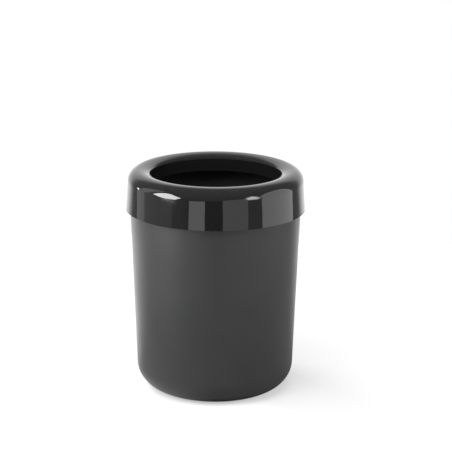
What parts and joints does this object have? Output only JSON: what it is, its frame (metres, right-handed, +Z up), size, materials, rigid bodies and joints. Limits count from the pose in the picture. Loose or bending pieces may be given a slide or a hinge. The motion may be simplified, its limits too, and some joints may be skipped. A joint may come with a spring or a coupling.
{
  "type": "cutlery holder",
  "caption": "Tapered matte black cup with a rounded base and a push-on glossy rim ring whose crown rolls down into a round mouth, for standing table cutlery on a counter.",
  "frame": {"origin": "centre of the base, on the surface that the holder stands on", "axes": "+Z up along the axis of the cup and ring; the holder is round, so +X and +Y are any two square directions"},
  "size_m": [0.13, 0.13, 0.162],
  "materials": {
    "cup": "black plastic with a fine matte moulded grain",
    "rim_ring": "polished black plastic"
  },
  "bodies": {
    "cup": {"cup": "cup"},
    "ring": {"rim_ring": "rim_ring"}
  },
  "joints": [
    {"name": "ring_lift", "type": "slide", "parent": "cup", "child": "ring", "axis": [0, 0, 1], "range_m": [0, 0.04]}
  ]
}
